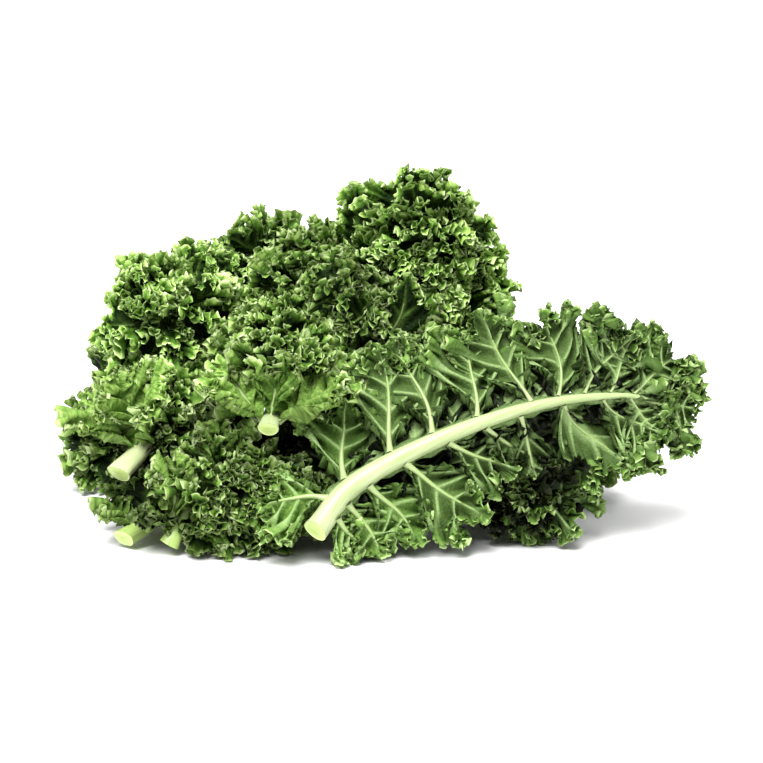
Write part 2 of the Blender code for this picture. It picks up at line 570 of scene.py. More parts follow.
@dataclass
class Lobe:
    """One lobe of the blade with its side vein.

    plan: its size and how it grows
    place, out, face: where it leaves the midrib, which way, and its upper side
    heading, twist: how far the vein turns within the blade and about itself, in degrees
    seed: number that its random shape starts from
    tone: how light it is, from about -0.5 for the darkest to 1 for fresh green; it takes in
    the painted shade set on its leaf and its plan
    grain: distance between two columns of its sheet
    """

    plan: LobePlan
    place: np.ndarray
    out: np.ndarray
    face: np.ndarray
    heading: float
    twist: float
    seed: int
    tone: float
    grain: float

    def outline(self, around: np.ndarray) -> np.ndarray:
        """The unfolded outline, whose length swells and shrinks in shallow bays.

        Args:
            around: places from -1 to 1, with the tip at 0.

        Returns:
            Distance along the vein and to its side at each place.
        """
        turn = math.pi * around
        rng = np.random.default_rng(self.seed)
        swell = 1 + 0.06 * np.sin(5 * turn + rng.uniform(0, TURN))
        swell += 0.10 * np.cos(2 * math.pi * around / 0.34)
        ahead = self.plan.length * (0.5 + 0.5 * np.cos(turn)) ** self.plan.habit.neck * swell
        aside = self.plan.half_width * np.sin(turn) * swell + FOOT * around
        return np.stack([ahead, aside], axis=-1)

    def vein_place(self, around: np.ndarray) -> np.ndarray:
        """Where the vein gives off the stretch of blade that ends at around."""
        share = (0.5 + 0.5 * np.cos(math.pi * around)) ** self.plan.habit.fork
        ahead = VEIN_REACH * self.plan.length * share
        return np.stack([ahead, np.zeros_like(ahead)], axis=-1)

    def spine(self) -> tuple[np.ndarray, ...]:
        """Draw the vein's curve, which rises, sways and twists on its way.

        Returns:
            Distance along the vein, its points, its side and its upper side.
        """
        away = np.linspace(0, 1.3 * self.plan.length, 64)[:, None]  # past where the outline swells
        share = away / self.plan.length
        rise = np.radians(self.plan.lift[0] + (self.plan.lift[1] - self.plan.lift[0]) * share**1.25)
        size, start = np.random.default_rng(self.seed + 2).uniform((7.0, 0.0), (15.0, TURN))
        sway = size * (np.sin(5.0 * share + start) - math.sin(start))
        turn = np.radians(self.heading * share + sway)
        roll = np.radians(self.twist) * share
        level = np.cos(turn) * self.out + np.sin(turn) * np.cross(self.face, self.out)
        ahead = np.cos(rise) * level + np.sin(rise) * self.face
        up = np.cos(rise) * self.face - np.sin(rise) * level
        aside = np.cross(up, ahead)
        aside, up = (
            aside * np.cos(roll) + up * np.sin(roll),
            up * np.cos(roll) - aside * np.sin(roll),
        )
        return away[:, 0], self.place + travel(ahead, away[1, 0]), aside, up

    def bend(self, flat: np.ndarray) -> np.ndarray:
        """Bend the unfolded lobe: the vein arcs up, and the halves fold up.

        Args:
            flat: places on the unfolded lobe.

        Returns:
            The places in the heap's space.
        """
        away, line, aside, up = self.spine()

        def read(values: np.ndarray) -> np.ndarray:
            """Values along the vein at each place."""
            return np.stack([np.interp(flat[..., 0], away, values[:, k]) for k in range(3)], -1)

        # the halves fold up more steeply towards their edges
        reach = np.linspace(0, 1.8 * self.plan.half_width, 48)
        fold = np.radians(self.plan.trough) * np.minimum(reach / self.plan.half_width, 1.4) ** 1.3
        distance = np.abs(flat[..., 1])
        wide = np.interp(distance, reach, travel(np.cos(fold), reach[1])) * np.sign(flat[..., 1])
        high = np.interp(distance, reach, travel(np.sin(fold), reach[1]))
        return read(line) + wide[..., None] * read(aside) + high[..., None] * read(up)

    def ribbing(self, flat: np.ndarray, rate: np.ndarray) -> np.ndarray:
        """How much of a rib there is at each place; ribs thin out before the margin.

        Args:
            flat: places on the unfolded lobe.
            rate: share of the way from vein to margin of each row.

        Returns:
            The amount, from 0 to 1.
        """
        width = 1.0 - 0.5 * rate
        mark = np.exp(-((flat[..., 1] / width) ** 2))
        mark = np.maximum(mark, 0.55 * np.exp(-flat[..., 0] / 7.0))  # pale where it leaves
        for share in self.plan.ribs:
            for sign in (-1, 1):
                around = np.array([sign * share])
                start, end = self.vein_place(around)[0], self.outline(around)[0]
                along = unit(end - start)
                apart = (flat - start) @ np.array([-along[1], along[0]])
                ahead = (flat - start) @ along > -1.0
                mark = np.maximum(mark, ahead * np.exp(-((apart / width) ** 2)))
        return mark * (1 - smooth((rate - 0.55) / 0.4))

    def columns(self) -> tuple[np.ndarray, np.ndarray]:
        """Spread the sheet's columns round the outline, sparsely near the midrib.

        Returns:
            Distance round the unfolded outline, and place from -1 to 1, of each column.
        """
        dense = np.linspace(-1, 1, 801)
        outline = self.outline(dense)
        run = run_of(outline)
        least = self.plan.habit.base_detail
        need = least + (1 - least) * outline[:, 0] / outline[:, 0].max()
        load = travel(need, 1.0) * run[-1] / (len(dense) - 1)
        coarsest = self.plan.habit.rows[0][1]
        count = coarsest * max(8, round(load[-1] / self.grain / coarsest)) + 1
        along = np.interp(np.linspace(0, load[-1], count), load, run)
        return along, np.interp(along, run, dense)

    def grow(self, leaf: LeafMesh) -> None:
        """Fold the lobe and add it to the leaf's mesh.

        Args:
            leaf: the mesh that takes the lobe.
        """
        habit = self.plan.habit
        along, around = self.columns()
        rate = np.array([share for share, _ in habit.rows])[:, None]
        vein, edge = self.vein_place(around), self.outline(around)
        flat = vein[None] + (edge - vein)[None] * rate[..., None]
        ahead = edge[:, 0] / edge[:, 0].max()
        rib = self.ribbing(flat, rate)
        ends = np.array([0.0, *self.plan.ribs, 1.0])
        between = np.interp(np.abs(around), ends, np.arange(len(ends)))
        bulge = habit.quilt * np.sin(math.pi * between) ** 2 * 4 * rate * (1 - rate)
        sheet = Sheet(
            self.bend(flat), along, rate, np.array([stride for _, stride in habit.rows]),
            habit.freedom(ahead, around)[None], self.grain, np.random.default_rng(self.seed + 1))
        sheet.swell(rib, bulge, habit.flop)
        for level, curl in enumerate(habit.curls):
            sheet.fold(curl, level)
        sheet.fringe(1.6 * habit.curls[-1].length)
        # painted shade: the margin is darker near the midrib, where the lobes shelter it, and ribs
        # fade in dark lobes
        painted_shade = np.clip(1.35 * (self.plan.shade - ahead), 0, 1)  # darker near the midrib
        clear = min(max(0.5 + self.tone, 0.1), 1.0)  # and ribs fade in dark lobes
        # each lobe takes its own patch of the patterns
        patch = np.array([37.0 * (self.seed % 97), 53.0 * (self.seed % 89)])
        grid = []
        for j, (share, stride) in enumerate(habit.rows):
            tone = self.tone - 1.1 * share * painted_shade[::stride]
            edging = np.full(len(tone), max(self.plan.pale, share))
            mark = np.stack([edging, clear * rib[j, ::stride], tone], axis=1)
            grid.append((sheet.points[j, ::stride], mark, flat[j, ::stride] + patch))
        leaf.add(grid, Part.BLADE)

    def side_vein(self, leaf: LeafMesh, radius: float) -> None:
        """Lay the round side vein on the underside.

        Args:
            leaf: the mesh that takes the vein.
            radius: the vein's radius near the midrib.
        """
        away, line, _, up = self.spine()
        kept = away < VEIN_REACH * self.plan.length
        share = away[kept] / self.plan.length
        radii = radius * (1 - share) ** 0.8 * (1 + 0.5 * np.exp(-share / 0.06)) + 0.15
        centres = line[kept] - up[kept] * (0.45 * radii)[:, None]
        step = self.plan.habit.ring_step
        Tube(centres[::step], up[kept][::step], radii[::step], 8, fade=1.0).grow(leaf)


@dataclass
class KaleLeaf:
    """One leaf, from the cut end of its stalk to its tip.

    node: the frame's node that it stands for
    spine: points along the midrib
    face: where the upper side looks, at the cut end and at the tip
    stalk: radius at the cut end
    bare: share of the spine that is bare stalk
    width: half widths of the blade to the left and to the right
    lobes: stations of lobes along each side
    crest: how high the curled blade stands above the midrib
    rises: how steeply the lobes of each side of a station stand up, in degrees
    grain: distance between two columns of a lobe's sheet
    seed: number that its random lobes start from
    slant: how far the cut end leans, as a slope
    youth_and_shade: how light the leaf is, 1 for a fresh light green leaf and 0 for an old
    dark one; leaves deep in the heap, under the front leaf too, are set low as painted shade
    vein: radius of a side vein as a share of the midrib's
    tone: how green the stalk is
    underside: True if the leaf lies with its underside out
    plans: lobes given one by one
    """

    node: str
    spine: list[tuple[float, float, float]]
    face: list[tuple[float, float, float]]
    stalk: float
    bare: float
    width: tuple[tuple[float, ...], tuple[float, ...]]
    lobes: int = 4
    crest: float = 44.0
    rises: tuple[float, ...] = (8.0, 50.0)
    grain: float = 0.43
    seed: int = 1
    slant: float = 0.2
    youth_and_shade: float = 0.7
    vein: float = 0.26
    tone: StalkTone = StalkTone.PALE
    underside: bool = False
    plans: tuple[LobePlan, ...] = ()

    def frames(self, shares: np.ndarray) -> tuple[np.ndarray, ...]:
        """Read the midrib's course.

        Args:
            shares: places along the spine, from 0 to 1.

        Returns:
            Centre, direction, left side and upper side at each place.
        """
        points = np.array(self.spine, float)
        centres = through(points, shares)
        step = 0.004
        ahead = through(points, np.clip(shares + step, 0, 1))
        behind = through(points, np.clip(shares - step, 0, 1))
        along = unit(ahead - behind)
        mix = smooth(shares)[:, None]
        start, end = np.array(self.face, float)
        face = unit(start * (1 - mix) + end * mix)
        across = unit(np.cross(along, face))
        face = np.cross(across, along)
        return centres, along, across, face

    def rib_radius(self, shares: np.ndarray) -> np.ndarray:
        """Radius of the stalk and midrib at shares of its length."""
        flare = 1 + 0.06 * np.exp(-shares / 0.03)
        return self.stalk * (1 - shares) ** 0.85 * flare + 0.3

    def midrib(self, leaf: LeafMesh) -> None:
        """Grow the stalk and midrib, with its cut end.

        Args:
            leaf: the mesh that takes them.
        """
        shares = np.linspace(0, 0.97, 80)
        centres, along, across, face = self.frames(shares)
        radii = self.rib_radius(shares)
        centres = centres - face * (0.35 * radii * smooth(shares / 0.15))[:, None]
        ring = Tube(centres, face, radii, 20, self.slant).grow(leaf)
        middle = ring.mean(axis=0)
        # rings of the cut face, each as its size and its depth below the rim
        dished = ((1.0, 0.0), (0.94, -0.45), (0.80, -0.25), (0.5, 0.15), (0.02, 0.3))
        grid = []
        for size, depth in dished:
            row = middle + (ring - middle) * size - along[0] * depth
            flat = np.stack([(row - middle) @ across[0], (row - middle) @ face[0]], axis=1)
            grid.append((row, np.array([size, 0.0, 0.5]), flat))
        leaf.add(grid, Part.CUT, closed=True)

    def wing(self, leaf: LeafMesh, side: Side) -> None:
        """Grow the narrow strip of blade that runs along the midrib between the lobes.

        Args:
            leaf: the mesh that takes the strip.
            side: the side of the midrib.
        """
        start = 0.6 * self.bare
        shares = np.linspace(start, 0.99, 209)
        rng = np.random.default_rng(self.seed + 7 + side.value)
        centres, along, across, face = self.frames(shares)
        run = shares * run_of(centres)[-1]
        radii = self.rib_radius(shares)
        wide = (2.8 + 1.6 * wander(run, 26.0, rng)) * smooth((shares - start) / 0.08)
        grid = []
        for rate in (0.0, 0.35, 0.7, 1.0):
            out = side.sign * (0.85 * radii + wide * rate)
            wave = np.sin(2 * math.pi * run / 11.0 + wander(run, 40.0, rng))
            up = 1.6 * rate * wave + 1.5 * rate - 0.3 * radii
            mark = np.array([0.6 * rate, 0.55 - 0.40 * rate, 0.5])
            row = centres + across * out[:, None] + face * up[:, None]
            grid.append((row, mark, np.stack([run, out], axis=1)))
        leaf.add(grid, Part.BLADE)

    def station(self, way: float) -> float:
        """Share of the spine at a share of the way along the blade."""
        return self.bare + (1 - self.bare) * way * 0.95

    def side_plan(self, side: Side, way: float, rise: float, rng: np.random.Generator) -> LobePlan:
        """Plan a lobe that grows to one side.

        Args:
            side: the side of the midrib.
            way: share of the way along the blade.
            rise: how steeply it stands up, in degrees.
            rng: source of its differences from the next.

        Returns:
            The plan.
        """
        widths = self.width[side.value]
        wide = np.interp(way, np.linspace(0.1, 0.9, len(widths)), widths)
        wide *= math.sin(math.pi * min(way * 0.8 + 0.2, 0.97)) ** 0.4  # narrower to the tip
        # the lobes of a station end on an ellipse as wide as the blade and as high as its crest
        up = math.sin(math.radians(rise))
        size = math.hypot(wide * math.sqrt(1 - up * up), self.crest * up)
        size *= rng.uniform(0.9, 1.1)
        turn = rise + rng.uniform(-9, 9)
        return LobePlan(
            side, min(self.station(way) + rng.uniform(-0.03, 0.03), 0.95), size,
            max(0.5 * size, 21.0), 4 + 42 * way + rng.uniform(-12, 12),
            (turn - 6, turn + 16), rng.uniform(35, 65), rng.uniform(-10, 20), inner=rise > STEEP)

    def crest_plan(self, way: float, rng: np.random.Generator) -> LobePlan:
        """Plan a lobe that stands on the midrib.

        Args:
            way: share of the way along the blade.
            rng: source of its differences from the next.

        Returns:
            The plan.
        """
        turn = 84 + rng.uniform(-16, 16)
        return LobePlan(
            Side.TIP, self.station(way), self.crest * rng.uniform(0.90, 1.02),
            max(0.78 * self.crest, 21.0), 0.0, (turn - 8, turn + 12), rng.uniform(20, 50),
            rng.uniform(-25, 25), inner=True)

    def tip_plan(self, rise: float, rng: np.random.Generator) -> LobePlan:
        """Plan a lobe at the leaf's tip.

        Args:
            rise: how steeply it stands up, in degrees.
            rng: source of its differences from the next.

        Returns:
            The plan.
        """
        size = 0.36 * (self.width[0][-1] + self.width[1][-1])
        return LobePlan(
            Side.TIP, 0.93 - 0.001 * rise, size, 0.62 * size, 0.0, (rise - 4, rise + 14), 55.0,
            rng.uniform(-15, 15), inner=rise > STEEP)

    def all_plans(self) -> list[LobePlan]:
        """Plan all lobes: those given, then those grown at the stations.

        Returns:
            The plans.
        """
        rng = np.random.default_rng(self.seed)
        plans = list(self.plans)
        for i in range(self.lobes):
            for side in (Side.LEFT, Side.RIGHT):
                way = (i + 0.35 + 0.3 * side.value) / self.lobes
                plans += [self.side_plan(side, way, rise, rng) for rise in self.rises]
            plans += [self.crest_plan((i + later) / self.lobes, rng) for later in (0.3, 0.8)]
        if self.lobes:
            plans += [self.tip_plan(rise, rng) for rise in (-32, 6, 44)]
        return plans

    def blade(self, leaf: LeafMesh) -> None:
        """Grow every lobe with its side vein.

        Args:
            leaf: the mesh that takes them.
        """
        rng = np.random.default_rng(self.seed + 3)
        for index, plan in enumerate(self.all_plans()):
            share = np.array([plan.share])
            centre, along, across, face = (values[0] for values in self.frames(share))
            sign, lean = plan.side.sign, math.radians(plan.tilt)
            out = along if plan.side is Side.TIP else (
                sign * across * math.cos(lean) + along * math.sin(lean))
            radius = float(self.rib_radius(share)[0])
            hold = 0.2 if plan.inner else 0.75  # how far out on the midrib it grows
            lobe = Lobe(
                plan=plan,
                place=centre + sign * across * hold * radius - face * 0.2 * radius,
                out=out,
                face=face,
                heading=sign * plan.heading,
                twist=rng.uniform(-plan.habit.twist, plan.habit.twist),
                seed=1000 * self.seed + 10 * index,
                tone=max(self.youth_and_shade + plan.light + rng.uniform(-0.2, 0.2), DARKEST_SHADE),
                grain=self.grain * plan.grain,
            )
            lobe.grow(leaf)
            if not plan.inner:
                lobe.side_vein(leaf, self.vein * radius + 0.3)

    def grow(self, materials: list[bpy.types.Material]) -> bpy.types.Object:
        """Grow the whole leaf as one piece and put it in its node's place.

        Args:
            materials: finishes of the blade, the stalk and the cut face.

        Returns:
            The piece.
        """
        leaf = LeafMesh()
        self.midrib(leaf)
        self.wing(leaf, Side.LEFT)
        self.wing(leaf, Side.RIGHT)
        self.blade(leaf)
        room = PRESSED - LOWEST
        for points in leaf.points:
            height = points[:, 2]
            low = height < PRESSED
            points[low, 2] = LOWEST + room * np.exp((height[low] - PRESSED) / room)
        piece = leaf.build("kale_" + self.node, materials)
        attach(piece, BODY)
        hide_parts(self.node)
        return piece


def linear(text: str) -> tuple[float, float, float, float]:
    """Turn an sRGB hex colour such as #4f7a2b into linear light.

    Args:
        text: the colour.

    Returns:
        Red, green, blue and alpha.
    """
    values = [int(text[i : i + 2], 16) / 255 for i in (1, 3, 5)]
    parts = [v / 12.92 if v <= 0.04045 else ((v + 0.055) / 1.055) ** 2.4 for v in values]
    return (*parts, 1.0)


def per_metre(size: float) -> float:
    """How many times a pattern of a size in millimetres repeats in a metre."""
    return 1 / (size * MM)


def new_material(name: str) -> tuple[bpy.types.Material, bpy.types.NodeTree, bpy.types.Node]:
    """Start a material.

    Args:
        name: the material's name.

    Returns:
        The material, its tree and its surface node.
    """
    material = bpy.data.materials.new(name)
    material.use_nodes = True
    return material, material.node_tree, material.node_tree.nodes["Principled BSDF"]


def add_node(
    tree: bpy.types.NodeTree, kind: str, links: dict | None = None, **settings: object
) -> bpy.types.Node:
    """Add a shader node to a material.

    Args:
        tree: the material's tree.
        kind: the node's type, without what all types start with.
        links: for each input a value, an output, or a node whose first output is meant.
        settings: its own properties.

    Returns:
        The new node.
    """
    made = tree.nodes.new("ShaderNode" + kind)
    for name, value in settings.items():
        setattr(made, name, value)
    for key, value in (links or {}).items():
        source = value.outputs[0] if isinstance(value, bpy.types.Node) else value
        if isinstance(source, bpy.types.NodeSocket):
            tree.links.new(source, made.inputs[key])
        else:
            made.inputs[key].default_value = source
    return made


@dataclass(frozen=True)
class BladeFinish:
    """One side of the blade of curly kale, a living leaf under a bloom of wax.

    deep, body, margin, rim: colours from the hollow of a lobe out to the edge of its margin;
    a dark deep colour is painted shade in the hollows, and the pale rim is partly the
    margin's own paleness and partly a painted highlight
    vein: colour of the ribs and of the net of small veins
    crumple, patch, net: size of the skin's wrinkles, of its lighter patches and of the
        meshes between small veins; real meshes are 1 to 3 mm wide, and these are a little
        coarser, so that they show
    """

    name: str
    deep: str
    body: str
    margin: str
    rim: str
    vein: str
    crumple: float = 2.4
    patch: float = 14.0
    net: float = 3.3
    roughness: float = 0.50
    specular: float = 0.12

    def material(self) -> bpy.types.Material:
        """Build the material.

        Returns:
            The new material.
        """
        material, tree, surface = new_material(self.name)
        marks = add_node(tree, "Attribute", attribute_name="marks")
        edge, rib, tone = add_node(tree, "SeparateColor", {"Color": marks}).outputs
        flat = add_node(tree, "Attribute", attribute_name="flat").outputs["Vector"]
        crumple = add_node(tree, "TexNoise", {
            "Vector": flat, "Scale": per_metre(self.crumple), "Detail": 2.0})
        ragged = add_node(tree, "Math", {0: crumple, 1: 0.24, 2: edge}, operation="MULTIPLY_ADD")
        centred = add_node(tree, "Math", {0: ragged, 1: 0.12}, operation="SUBTRACT")
        # colour from the hollow of a lobe out to its rim: the dark inner colour is painted shade,
        # and the rim partly a painted highlight
        ramp = add_node(tree, "ValToRGB", {"Fac": centred})
        stops = ramp.color_ramp.elements
        stops[0].position, stops[0].color = 0.0, linear(self.deep)
        stops[1].position, stops[1].color = 1.0, linear(self.rim)
        for share, colour in ((0.68, self.deep), (0.89, self.body), (0.97, self.margin)):
            stops.new(share).color = linear(colour)
        patch = add_node(tree, "TexNoise", {
            "Vector": flat, "Scale": per_metre(self.patch), "Detail": 3.0})
        # the tone mark sets how light the colour is: the leaf's own lightness, random patches and
        # painted shade
        patchy = add_node(tree, "Math", {0: patch, 1: 0.6, 2: 0.1}, operation="MULTIPLY_ADD")
        lightness_and_shade = add_node(tree, "Math", {0: tone, 1: 0.85, 2: patchy}, operation="MULTIPLY_ADD")
        least = add_node(tree, "Math", {0: lightness_and_shade, 1: 0.03}, operation="MAXIMUM")
        toned = add_node(tree, "VectorMath", {0: ramp, "Scale": least}, operation="SCALE")
        net = add_node(tree, "TexVoronoi", {
            "Vector": flat, "Scale": per_metre(self.net)}, feature="DISTANCE_TO_EDGE")
        thread = add_node(tree, "MapRange", {
            "Value": net, "From Min": 0.0, "From Max": 0.12, "To Min": 0.14, "To Max": 0.0})
        clear = add_node(tree, "Math", {0: tone, 1: 0.4}, operation="ADD", use_clamp=True)
        seen = add_node(tree, "Math", {0: thread, 1: clear}, operation="MULTIPLY")
        line = add_node(tree, "Math", {0: rib, 1: seen}, operation="MAXIMUM")
        veined = add_node(tree, "Mix", {
            "Factor": line, 6: toned, 7: linear(self.vein)}, data_type="RGBA")
        relief = add_node(tree, "Math", {0: thread, 1: 4.0, 2: crumple}, operation="MULTIPLY_ADD")
        bump = add_node(tree, "Bump", {"Height": relief, "Strength": 0.6, "Distance": 0.0011})
        tree.links.new(veined.outputs[2], surface.inputs["Base Color"])
        tree.links.new(bump.outputs["Normal"], surface.inputs["Normal"])
        surface.inputs["Roughness"].default_value = self.roughness
        surface.inputs["Specular IOR Level"].default_value = self.specular
        return material


@dataclass(frozen=True)
class StalkFinish:
    """The fleshy stalk, whose fibres show as fine ribs along it, or its cut face.

    light, green: colours on and between the fibres
    fade: colour towards the leaf's tip, or at the rim of the cut
    fibre: length and width of a fibre; real ones are under 1 mm wide, and these are drawn
        coarser, so that they show
    """

    name: str
    light: str
    green: str
    fade: str
    fibre: tuple[float, float] = (25.0, 2.0)
    roughness: float = 0.38

    def material(self) -> bpy.types.Material:
        """Build the material.

        Returns:
            The new material.
        """
        material, tree, surface = new_material(self.name)
        flat = add_node(tree, "Attribute", attribute_name="flat")
        length, width = self.fibre
        scale = (per_metre(length), per_metre(width), 1.0)
        stretch = add_node(tree, "Mapping", {
            "Vector": flat.outputs["Vector"], "Scale": scale}, vector_type="POINT")
        fibre = add_node(tree, "TexNoise", {"Vector": stretch, "Scale": 1.0, "Detail": 2.0})
        ramp = add_node(tree, "ValToRGB", {"Fac": fibre})
        stops = ramp.color_ramp.elements
        stops[0].position, stops[0].color = 0.35, linear(self.green)
        stops[1].position, stops[1].color = 0.65, linear(self.light)
        marks = add_node(tree, "Attribute", attribute_name="marks")
        parts = add_node(tree, "SeparateColor", {"Color": marks})
        aged = add_node(tree, "Mix", {
            "Factor": parts.outputs["Red"], 6: ramp, 7: linear(self.fade)}, data_type="RGBA")
        bump = add_node(tree, "Bump", {"Height": fibre, "Strength": 0.2, "Distance": 0.0004})
        tree.links.new(aged.outputs[2], surface.inputs["Base Color"])
        tree.links.new(bump.outputs["Normal"], surface.inputs["Normal"])
        surface.inputs["Roughness"].default_value = self.roughness
        return material


# Kale's wax bloom scatters light: the upper side looks deep green with a soft, dull gloss,
# and turns pale where the margin is thin. Its near-black deep colour is painted shade in
# the hollows of the curls, and its pale rim is partly a painted highlight.
UPPER_SIDE = BladeFinish(
    "kale_blade_upper", deep="#102206", body="#547a2a", margin="#92b05a", rim="#bfd396",
    vein="#55752f")
# The underside has more air in its flesh: it looks greyer and flatter, with clear veins.
# Its pale rim is partly a painted highlight.
UNDERSIDE = BladeFinish(
    "kale_blade_under", deep="#455c2a", body="#4c6b2b", margin="#6b8c3e", rim="#b0ca84",
    vein="#8faa6c")
# A fresh stalk is full of water: it looks smooth and moist, paler the older the leaf.
STALKS = {
    StalkTone.CREAM: StalkFinish("kale_stalk_cream", "#d8dfb4", "#c0cc94", "#9db06f"),
    StalkTone.PALE: StalkFinish("kale_stalk", "#bfc89e", "#a6b480", "#90a863"),
    StalkTone.GREEN: StalkFinish("kale_stalk_green", "#b3c878", "#93b058", "#9ab766"),
}
# The cut shows the wet green pith inside a paler rind.
CUT_FACE = StalkFinish("kale_cut_face", "#b4c870", "#93ae50", "#c4d68c")


@dataclass(frozen=True)
class Lamp:
    """A far lamp.

    name: what it stands for
    energy: its strength in watts on a square metre
    width: how wide it looks from the heap, in degrees; wider makes softer shadows
    aim: the way that its light goes
    """

    name: str
    energy: float
    width: float
    aim: tuple[float, float, float]

    def hang(self) -> None:
        """Put the lamp in the scene."""
        lamp = bpy.data.lights.new(self.name, "SUN")
        lamp.angle = math.radians(self.width)
        lamp.energy = self.energy
        item = bpy.data.objects.new(self.name, lamp)
        item.rotation_euler = Vector(self.aim).to_track_quat("-Z", "Y").to_euler()
        bpy.context.scene.collection.objects.link(item)


@dataclass
class Studio:
    """A plain pale floor, soft lamps and the camera, with sizes in metres.

    distance, elevation: how far the camera stands from its aim, and how high in degrees
    lens: focal length in millimetres
    aim: what the camera looks at
    half_floor: half of the floor's side
    paper: how much light the floor gives back
    room: strength of the light that comes from all round
    lamps: the lamps
    """

    distance: float = 1.89
    elevation: float = 12.5
    lens: float = 120.0
    aim: tuple[float, float, float] = (0.0008, 0.0057, 0.102)
    half_floor: float = 15.0
    paper: float = 0.92
    room: float = 0.18
    lamps: tuple[Lamp, ...] = (
        Lamp("window", 4.7, 34, (0.20, 0.62, -1.0)),
        Lamp("soft_box", 3.0, 110, (0.05, 0.2, -1.0)),
    )

    def stand_camera(self) -> None:
        """Stand the camera in front of the heap."""
        camera = bpy.data.cameras.new("camera")
        camera.lens = self.lens
        item = bpy.data.objects.new("camera", camera)
        tilt = math.radians(self.elevation)
        aim = Vector(self.aim)
        item.location = aim + Vector((0, -math.cos(tilt), math.sin(tilt))) * self.distance
        item.rotation_euler = (aim - item.location).to_track_quat("-Z", "Y").to_euler()
        bpy.context.scene.collection.objects.link(item)
        bpy.context.scene.camera = item
        bpy.context.scene.view_settings.view_transform = "Standard"

    def light_room(self) -> None:
        """Hang the lamps and light the room."""
        world = bpy.data.worlds.new("room")
        bpy.context.scene.world = world
        world.use_nodes = True
        background = world.node_tree.nodes["Background"]
        background.inputs["Color"].default_value = (1, 1, 1, 1)
        background.inputs["Strength"].default_value = self.room
        for lamp in self.lamps:
            lamp.hang()

    def lay_floor(self) -> None:
        """Lay the floor of white paper, which is matt and shows only a soft shadow."""
        mesh = bpy.data.meshes.new("floor")
        corners = ((-1, -1), (1, -1), (1, 1), (-1, 1))
        mesh.from_pydata([(x * self.half_floor, y * self.half_floor, 0) for x, y in corners],
                         [], [(0, 1, 2, 3)])
        floor = bpy.data.objects.new("floor", mesh)
        bpy.context.scene.collection.objects.link(floor)
        paper, _, surface = new_material("white_paper")
        surface.inputs["Base Color"].default_value = (self.paper, self.paper, self.paper, 1)
        surface.inputs["Roughness"].default_value = 0.9
        mesh.materials.append(paper)


def planned(*rows: tuple, **shared: object) -> tuple[LobePlan, ...]:
    """Plan lobes from a table.

    Args:
        rows: for each lobe, the first values of a LobePlan in its order.
        shared: values that all lobes take.

    Returns:
        The plans.
    """
    return tuple(LobePlan(*row, **shared) for row in rows)


L, R, T = Side.LEFT, Side.RIGHT, Side.TIP
# Each row: side, share, length, half width, tilt, lift, trough, and then, where they are
# not 0, heading, light and pale.
FRONT_LOBES = planned(
    (L, 0.08, 44, 27, -20, (-5, 25), 25, -10, 0.15, 0.93),
    (L, 0.135, 58, 33, 30, (15, -15), 45, 0, 0.15, 0.88),
    (L, 0.255, 76, 33, 20, (20, -20), 52, -4, 0.1),
    (L, 0.36, 71, 31, 22, (18, -5), 50),
    (L, 0.47, 63, 30, 30, (16, -15), 50, -8),
    (L, 0.605, 69, 32, -6, (18, -25), 52, -8),
    (L, 0.67, 62, 30, 34, (25, -30), 52, -36, -0.1),
    habit=SOFT,
) + planned(
    (L, 0.735, 55, 34, 40, (22, -35), 30, -8, -0.25),
    (L, 0.80, 50, 32, 47, (22, -35), 30, -6, -0.25),
    (L, 0.86, 45, 33, 54, (18, -40), 30, -4, -0.25),
    habit=SOFT, ribs=PLEATS,
) + planned(
    (R, 0.055, 24, 18, -10, (30, 40), 30, 10, 0.1, 0.93),
    (R, 0.10, 41, 29, -8, (30, 12), 40, 0, 0.1, 0.93),
    (R, 0.175, 50, 32, 4, (22, 18), 45, 0, 0.1, 0.90),
    (R, 0.275, 62, 31, 30, (15, 10), 55, -6),
    (R, 0.385, 50, 23, 42, (20, 20), 45, 0, -0.2),
    (R, 0.48, 60, 25, 42, (30, 20), 50, -14, -0.35),
    (R, 0.57, 88, 35, 10, (32, 0), 50, 0, -0.3),
    habit=SOFT,
) + planned(
    (R, 0.68, 70, 32, 24, (38, -35), 50, 0, -0.2),
) + planned(
    (R, 0.78, 50, 32, 36, (26, -45), 30, 10, -0.25),
    (R, 0.85, 37, 31, 54, (20, -45), 30, 10, -0.1),
    (T, 0.905, 36, 34, 0, (14, -45), 30, 8, -0.2),
    habit=SOFT, ribs=PLEATS,
# painted shade: these lobes are set near black, so that the hollows behind the front lobes look
# dark
) + planned(  # dark coarse lobes that close the hollows behind
    *((side, share, size, 34, 18, (lift, 24), 40, 0, -2.0)
      for share in (0.16, 0.27, 0.40, 0.53, 0.60, 0.66, 0.79)
      for side, size, lift in ((L, 54, 34), (R, 44, 42))),
    habit=SOFT, inner=True, grain=1.8,
# painted shade: these are set a little dark, and darker still near the midrib
) + planned(  # the further row of curls, seen between those in front
    *((L, share, size, 26, tilt, (44, -14), 40, 0, -0.25)
      for share, size, tilt in (
          (0.20, 66, 26), (0.31, 72, 22), (0.42, 68, 24), (0.54, 66, 18), (0.64, 66, 16),
          (0.72, 56, 40), (0.79, 50, 46))),
    shade=1.05, inner=True, grain=1.25,
)
